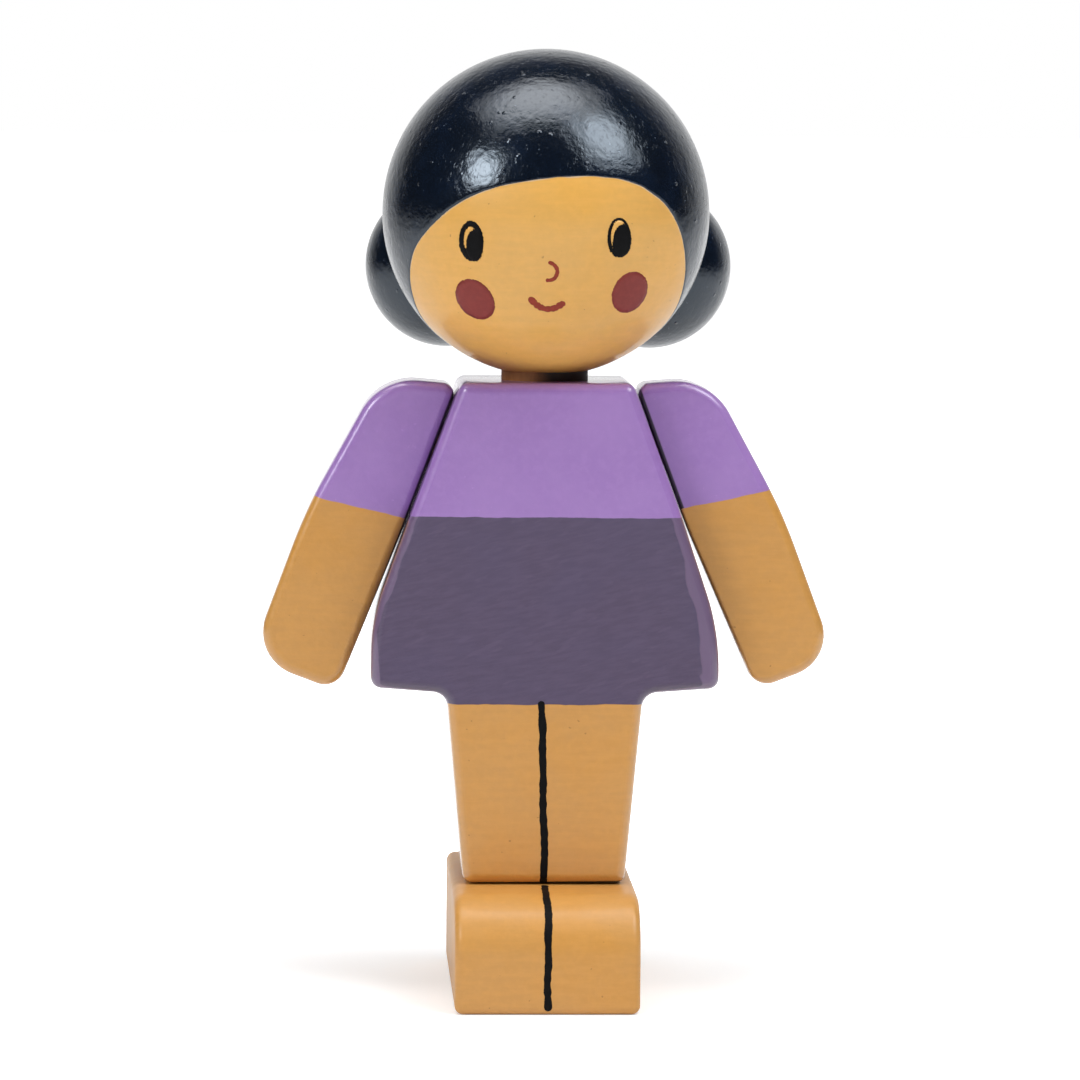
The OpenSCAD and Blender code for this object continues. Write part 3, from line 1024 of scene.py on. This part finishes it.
def drawn_line(name, path, tree, seed, context):
    """Line along a path of places and normals, made by the node tree and kept as a plain mesh."""
    mesh = bpy.data.meshes.new(name + "_path")
    mesh.from_pydata([spot for spot, lift in path], [(k, k + 1) for k in range(len(path) - 1)], [])
    flat = [value for spot, lift in path for value in lift]
    mesh.attributes.new("lift", "FLOAT_VECTOR", "POINT").data.foreach_set("vector", flat)
    maker = bpy.data.objects.new(name + "_path", mesh)
    context.collection.objects.link(maker)
    modifier = maker.modifiers.new("Line", "NODES")
    modifier.node_group = tree
    s = sizes()
    values = {"Width": s.line_w, "Coat": s.paint, "Sway": s.line_sway, "Seed": seed,
              "Paint": context.scene.doll_ink}
    for item in tree.interface.items_tree:
        if item.in_out == "INPUT" and item.name in values:
            modifier[item.identifier] = values[item.name]
    ready = maker.evaluated_get(context.evaluated_depsgraph_get())
    line = bpy.data.meshes.new_from_object(ready)
    maker.modifiers.remove(modifier)
    bpy.data.objects.remove(maker)
    if not line.polygons:
        raise RuntimeError(f"{name} came out empty")
    line.polygons.foreach_set("use_smooth", [True] * len(line.polygons))
    obj = bpy.data.objects.new(name, line)
    context.collection.objects.link(obj)
    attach(obj, "torso")


class DOLL_OT_leg_line(bpy.types.Operator):
    """Draw the line that parts the legs and the shoes"""

    bl_idname = "doll.leg_line"
    bl_label = "Leg line"

    def execute(self, context):
        s = sizes()
        tree = line_tree()
        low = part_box("body_board")[0]
        front = low.y
        marks = [Vector((x, z, 0)) for x, z in LEG_LINE + ((0, (low.z + s.board_edge_r) / MM),)]
        steps = 12
        arc_steps = 16
        ahead = (0, -1, 0)
        path = [((spot.x * MM, front, spot.y * MM), ahead) for spot in smooth_path(marks, steps)]
        edge = s.board_edge_r
        for k in range(1, 8):
            turn = radians(10 * k)
            spot = (0, front + edge * (1 - cos(turn)), low.z + edge * (1 - sin(turn)))
            path.append((spot, (0, -cos(turn), -sin(turn))))
        drawn_line("leg_line", path, tree, 3.0, context)
        low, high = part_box("foot_block")
        flat = low.y + s.toe_r - front
        path = [((0, front - 0.1 * MM + flat * (k / steps), high.z), (0, 0, 1)) for k in range(steps)]
        for k in range(arc_steps + 1):
            turn = pi / 2 * k / arc_steps
            spot = (0, low.y + s.toe_r * (1 - sin(turn)), high.z - s.toe_r * (1 - cos(turn)))
            path.append((spot, (0, -sin(turn), cos(turn))))
        upright = high.z - s.toe_r - 0.4 * MM
        for k in range(1, steps + 1):
            path.append(((0, low.y, high.z - s.toe_r - upright * k / steps), ahead))
        drawn_line("foot_line", path, tree, 8.0, context)
        return {"FINISHED"}


class DOLL_OT_pegs(bpy.types.Operator):
    """Paint the neck peg dark as painted shade, and leave the hidden pegs as bare dowel"""

    bl_idname = "doll.pegs"
    bl_label = "Pegs"

    def execute(self, context):
        shaded_neck = neck_material()
        bare = dowel_material()
        for name in ["neck_peg"] + HIDDEN_PEGS:
            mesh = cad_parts[name].data
            mesh.materials.clear()
            mesh.materials.append(shaded_neck if name == "neck_peg" else bare)
        return {"FINISHED"}


def soft_light(name, spot, size, power, tint, glow):
    """Soft light at spot, turned to the doll, with a glow that goes from its middle to its rim."""
    lamp = bpy.data.lights.new(name, "AREA")
    lamp.shape = "RECTANGLE"
    lamp.size, lamp.size_y = size
    lamp.energy = power
    lamp.color = tint
    lamp.use_nodes = True
    net = Net(lamp.node_tree)
    where = net.add("ShaderNodeNewGeometry", output="Parametric")
    away = net.measure("DISTANCE", where, (0.5, 0.5, 0))
    strength = net.between(net.step(away, 0.15, 0.5), *glow)
    net.add("ShaderNodeOutputLight", {0: net.add("ShaderNodeEmission", {"Strength": strength})})
    light = bpy.data.objects.new(name, lamp)
    light.matrix_world = looking(spot, (CAD_LOW + CAD_HIGH) / 2)
    bpy.context.collection.objects.link(light)


class DOLL_OT_stage(bpy.types.Operator):
    """Set up the floor, the lights, the backdrop and the camera"""

    bl_idname = "doll.stage"
    bl_label = "Stage"

    def execute(self, context):
        self.floor(context)
        warm = (1, 0.97, 0.95)
        cool = (0.96, 1, 1.03)
        soft_light("over", (-0.05, -0.04, 0.8), (0.9, 0.62), 4.15, warm, (2.1, 0.45))
        soft_light("right_side", (0.47, -0.3, 0.69), (0.6, 0.6), 5.3, cool, (1.5, 0.4))
        soft_light("left_front", (-0.64, -0.5, 0.5), (0.4, 0.4), 4.4, cool, (1.4, 0.45))
        self.world(context)
        self.camera(context)
        context.scene.view_settings.view_transform = "Standard"
        return {"FINISHED"}

    def floor(self, context):
        """White floor that keeps the shadow, and that gloss mirrors as part of the room."""
        mesh = bpy.data.meshes.new("floor")
        far = 6.0
        corners = [(-far, -far, 0), (far, -far, 0), (far, far, 0), (-far, far, 0)]
        mesh.from_pydata(corners, [], [(0, 1, 2, 3)])
        net = new_material("floor", (0.9, 0.9, 0.9))
        where = net.place()
        away = net.measure("LENGTH", where)
        behind = net.math("DIVIDE", net.measure("DOT_PRODUCT", where, WALL), away)
        room = net.between(net.step(behind, *WALL_FADE), 0.03, 1.0)
        room = net.between(net.step(away, 0.05, 0.7), 0.25, room)
        glow = net.between(net.step(away, 0.02, 0.08), 0.35, 1.0)
        glow = net.plus(net.times(net.ray("Camera"), glow), net.times(net.ray("Glossy"), room))
        inputs = {"Base Color": (0.86, 0.86, 0.86, 1), "Roughness": 0.9, "Specular IOR Level": 0.1,
                  "Emission Color": (*WHITE, 1), "Emission Strength": glow}
        surface = net.add("ShaderNodeBsdfPrincipled", inputs)
        net.add("ShaderNodeOutputMaterial", {"Surface": surface})
        mesh.materials.append(net.owner)
        obj = bpy.data.objects.new("floor", mesh)
        context.collection.objects.link(obj)

    def world(self, context):
        """White backdrop, a dim even light, and a dark room with a bright wall for gloss to mirror."""
        world = bpy.data.worlds.new("studio")
        world.use_nodes = True
        net = Net(world.node_tree)
        way = net.add("ShaderNodeTexCoord", output="Generated")
        back = net.measure("DOT_PRODUCT", way, WALL)
        wall = net.times(net.step(back, *WALL_FADE), net.step(net.axis(way, 2), 0.9, 0.4))
        room = net.blend(wall, (0.03, 0.03, 0.032), WHITE)
        shade = net.blend(net.ray("Glossy"), (0.12, 0.12, 0.124), room)
        shade = net.blend(net.ray("Camera"), shade, WHITE)
        surface = net.add("ShaderNodeBackground", {"Color": shade})
        net.add("ShaderNodeOutputWorld", {"Surface": surface})
        context.scene.world = world

    def camera(self, context):
        """Camera with a long lens, a little above and to the doll's right."""
        spot = Vector((-21.853, -478.891, 85.118)) * MM
        aim = Vector((-0.3, 0, 41.54)) * MM
        lens = bpy.data.cameras.new("camera")
        lens.sensor_fit = "HORIZONTAL"
        lens.angle = radians(11.8517)
        lens.clip_start = 0.01
        camera = bpy.data.objects.new("camera", lens)
        camera.matrix_world = looking(spot, aim, roll=radians(0.462))
        context.collection.objects.link(camera)
        context.scene.camera = camera


class DOLL_PT_panel(bpy.types.Panel):
    """Sidebar panel with the builders and their sizes"""

    bl_idname = "DOLL_PT_panel"
    bl_label = "Painted Block Doll"
    bl_space_type = "VIEW_3D"
    bl_region_type = "UI"
    bl_category = "Doll"

    def draw(self, context):
        layout = self.layout
        for operator in OPERATORS:
            layout.operator(operator.bl_idname)
        for group in (context.scene.doll_sizes, context.scene.doll_colours):
            box = layout.box()
            for name in group.__annotations__:
                box.prop(group, name)


OPERATORS = (DOLL_OT_head, DOLL_OT_face, DOLL_OT_bunches, DOLL_OT_body, DOLL_OT_arms, DOLL_OT_foot,
             DOLL_OT_leg_line, DOLL_OT_pegs, DOLL_OT_stage)
CLASSES = (DollSizes, DollColours) + OPERATORS + (DOLL_PT_panel,)
POINTERS = {"doll_sizes": DollSizes, "doll_colours": DollColours,
            "doll_hair": bpy.types.Material, "doll_ink": bpy.types.Material}


def register():
    """Register the classes and their properties."""
    for item in CLASSES:
        bpy.utils.register_class(item)
    for name, kind in POINTERS.items():
        setattr(bpy.types.Scene, name, PointerProperty(type=kind))


def unregister():
    """Remove what register added."""
    for name in POINTERS:
        delattr(bpy.types.Scene, name)
    for item in reversed(CLASSES):
        bpy.utils.unregister_class(item)


def main():
    """Build the doll and its stage."""
    register()
    scene = bpy.context.scene
    scene.doll_hair = hair_material()
    scene.doll_ink = flat_paint("ink_paint", colours().ink, rough=0.6, mottled=0.3, specular=0.12)
    bpy.ops.doll.head()
    bpy.ops.doll.face()
    bpy.ops.doll.bunches()
    bpy.ops.doll.body()
    bpy.ops.doll.arms()
    bpy.ops.doll.foot()
    bpy.ops.doll.leg_line()
    bpy.ops.doll.pegs()
    bpy.ops.doll.stage()


if __name__ == "__main__":
    main()
